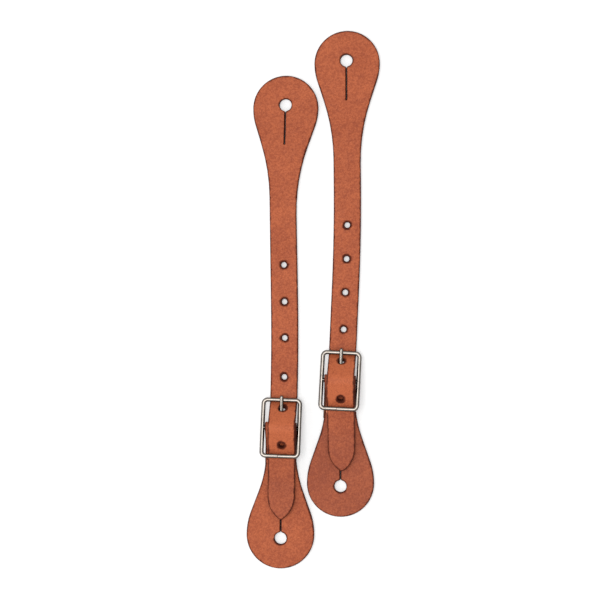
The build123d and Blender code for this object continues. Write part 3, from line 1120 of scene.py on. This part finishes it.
def add_sky(stage):
    """Even light from all round the room."""
    world = bpy.data.worlds.new("room")
    bpy.context.scene.world = world
    world.use_nodes = True
    tree = world.node_tree
    shade = tree.nodes["Background"]
    shade.inputs["Color"].default_value = WHITE
    strength = arithmetic(tree, "MAXIMUM", seen_directly(tree), stage.room_light)
    tree.links.new(strength, shade.inputs["Strength"])


def add_camera(stage):
    """A long lens, nearly straight above and a little to the right."""
    data = bpy.data.cameras.new("view_from_above")
    camera = bpy.data.objects.new("view_from_above", data)
    bpy.context.scene.collection.objects.link(camera)
    tilt = stage.camera_tilt
    away = Vector((sin(tilt), 0, cos(tilt))) * stage.camera_distance
    camera.location = Vector(stage.aim) + away
    camera.rotation_euler = (0, tilt, 0)
    data.lens = stage.lens
    data.sensor_width = 36
    data.clip_start = 0.01
    bpy.context.scene.camera = camera


# ---------------------------------------------------------------- settings, operators and panel


def colour_setting(name, description, default):
    return bpy.props.FloatVectorProperty(
        name=name, description=description, default=default, subtype="COLOR", min=0, max=1
    )


def length_setting(name, description, default):
    return bpy.props.FloatProperty(
        name=name, description=description, default=default, unit="LENGTH", subtype="DISTANCE"
    )


def plain_setting(name, description, default, subtype="NONE"):
    return bpy.props.FloatProperty(name=name, description=description, default=default, subtype=subtype)


class SpurLeatherSizes(bpy.types.PropertyGroup):
    edge_round: length_setting("Edge rounding", "Radius of the burnished outer edges", 0.0007)
    rim_round: length_setting("Hole rounding", "Radius of the rims of holes and slits", 0.0003)


class SpurColours(bpy.types.PropertyGroup):
    grain_light: colour_setting("Light grain", "Palest tone of the grain side", (0.595, 0.152, 0.060))
    grain_dark: colour_setting("Dark grain", "Deepest tone of the grain side", (0.345, 0.070, 0.027))
    # Worn grain: the painted shade towards the long straps' tips, and the short straps' own darker tone
    worn: colour_setting("Worn grain", "Tone of the grain side where it has dulled", (0.27, 0.092, 0.060))
    burnish: colour_setting("Burnished edge", "Colour of edges and creases", (0.075, 0.012, 0.005))
    flesh: colour_setting("Flesh side", "Light fibres of the back", (0.52, 0.27, 0.15))
    flesh_dark: colour_setting("Flesh shadow", "Dark fibres of the back", (0.36, 0.16, 0.08))
    nickel: colour_setting("Nickel", "Colour of the plated wire", (0.29, 0.26, 0.23))
    tarnish: colour_setting("Tarnish", "Colour of the stains on the plate", (0.21, 0.184, 0.16))
    # Painted shade: the dark colour painted down the sides of the wire
    painted_side_shade: colour_setting("Dull plate", "Colour down the sides of the wire", (0.10, 0.088, 0.077))
    copper: colour_setting("Copper", "Colour of the rivets", (0.36, 0.13, 0.07))
    copper_dark: colour_setting("Old copper", "Brown bloom on the rivets", (0.17, 0.06, 0.035))


class SpurStage(bpy.types.PropertyGroup):
    floor_size: length_setting("Table size", "Width of the table", 4.0)
    floor_gap: length_setting("Table gap", "From the leather down to the table", 0.00005)
    floor_colour: colour_setting("Table colour", "Colour of the table", (0.95, 0.95, 0.95))
    floor_glow: plain_setting("Table glow", "White that the camera sees on the table", 0.26)
    room_light: plain_setting("Room light", "Strength of the room's light", 0.56)
    key_power: plain_setting("Key light", "Power of the soft box at the side", 2.2)
    top_power: plain_setting("Top light", "Power of the soft box above", 9.4)
    aim: bpy.props.FloatVectorProperty(
        name="Aim",
        description="Point that the camera looks at",
        default=(-0.00780, 0.00006, 0),
        subtype="XYZ",
    )
    camera_distance: length_setting("Distance", "From the camera to the table", 0.943)
    camera_tilt: plain_setting("Tilt", "Lean of the camera to the right", radians(4.5), subtype="ANGLE")
    lens: plain_setting("Lens", "Focal length in millimetres", 96.3)


class SPURS_OT_long_straps(bpy.types.Operator):
    """Make the two long straps, with their paddles, holes and pointed tips"""

    bl_idname = "spurs.long_straps"
    bl_label = "Long Straps"

    def execute(self, context):
        leather = leather_material(context.scene.spur_colours)
        for strap in STRAPS:
            side = strap["name"]
            piece = make_long_strap(strap, context.scene.spur_sizes)
            give(piece, leather)
            flex(piece)
            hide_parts(f"{side}_long_strap_paddle", f"{side}_long_strap_body")
        return {"FINISHED"}


class SPURS_OT_short_straps(bpy.types.Operator):
    """Make the two short straps, each folded round its buckle's bar"""

    bl_idname = "spurs.short_straps"
    bl_label = "Short Straps"

    def execute(self, context):
        made = bpy.data.materials.get("russet_harness_leather")
        leather = made or leather_material(context.scene.spur_colours)
        for strap in STRAPS:
            side = strap["name"]
            piece = make_short_strap(strap, context.scene.spur_sizes)
            give(piece, leather)
            flex(piece)
            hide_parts(f"{side}_short_strap_paddle", f"{side}_short_strap_fold")
        return {"FINISHED"}


class SPURS_OT_buckles(bpy.types.Operator):
    """Bend the buckles' frames, and plate them with their bars and tongues"""

    bl_idname = "spurs.buckles"
    bl_label = "Buckles"

    def execute(self, context):
        nickel = nickel_material(context.scene.spur_colours)
        for strap in STRAPS:
            side = strap["name"]
            piece = make_buckle_frame(strap)
            give(piece, nickel)
            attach(piece, f"{side}_buckle")
            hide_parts(f"{side}_buckle_frame")
            give(plated_copy(side, "centre_bar", "buckle"), nickel)
            give(plated_copy(side, "tongue", "tongue"), nickel)
        return {"FINISHED"}


class SPURS_OT_rivets(bpy.types.Operator):
    """Finish the copper rivets and burrs that hold the folds"""

    bl_idname = "spurs.rivets"
    bl_label = "Rivets"

    def execute(self, context):
        copper = copper_material(context.scene.spur_colours)
        for strap in STRAPS:
            for name in ("rivets", "burrs"):
                give(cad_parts[f"{strap['name']}_{name}"], copper)
        return {"FINISHED"}


class SPURS_OT_stage(bpy.types.Operator):
    """Set up the table, the soft boxes and the camera"""

    bl_idname = "spurs.stage"
    bl_label = "Stage"

    def execute(self, context):
        stage = context.scene.spur_stage
        add_floor(stage)
        add_sky(stage)
        add_lamp("key_soft_box", KEY_PLACE, KEY_SIZE, stage.key_power)
        add_lamp("top_soft_box", TOP_PLACE, TOP_SIZE, stage.top_power)
        add_camera(stage)
        context.scene.view_settings.view_transform = "Standard"
        return {"FINISHED"}


class SPURS_PT_panel(bpy.types.Panel):
    """Steps that make the spur straps"""

    bl_label = "Spur Straps"
    bl_idname = "SPURS_PT_panel"
    bl_space_type = "VIEW_3D"
    bl_region_type = "UI"
    bl_category = "Spur Straps"

    def draw(self, context):
        for group in (context.scene.spur_sizes, context.scene.spur_colours, context.scene.spur_stage):
            box = self.layout.box()
            for name in group.__annotations__:
                box.prop(group, name)
        for operator in OPERATORS:
            self.layout.operator(operator.bl_idname)


OPERATORS = (SPURS_OT_long_straps, SPURS_OT_short_straps, SPURS_OT_buckles, SPURS_OT_rivets, SPURS_OT_stage)
SETTINGS = {"spur_sizes": SpurLeatherSizes, "spur_colours": SpurColours, "spur_stage": SpurStage}


def register():
    for group in SETTINGS.values():
        bpy.utils.register_class(group)
    for name, group in SETTINGS.items():
        setattr(bpy.types.Scene, name, bpy.props.PointerProperty(type=group))
    for operator in OPERATORS:
        bpy.utils.register_class(operator)
    bpy.utils.register_class(SPURS_PT_panel)


def unregister():
    bpy.utils.unregister_class(SPURS_PT_panel)
    for operator in reversed(OPERATORS):
        bpy.utils.unregister_class(operator)
    for name in SETTINGS:
        delattr(bpy.types.Scene, name)
    for group in SETTINGS.values():
        bpy.utils.unregister_class(group)


def main():
    register()
    bpy.ops.spurs.long_straps()
    bpy.ops.spurs.short_straps()
    bpy.ops.spurs.buckles()
    bpy.ops.spurs.rivets()
    bpy.ops.spurs.stage()


if __name__ == "__main__":
    main()
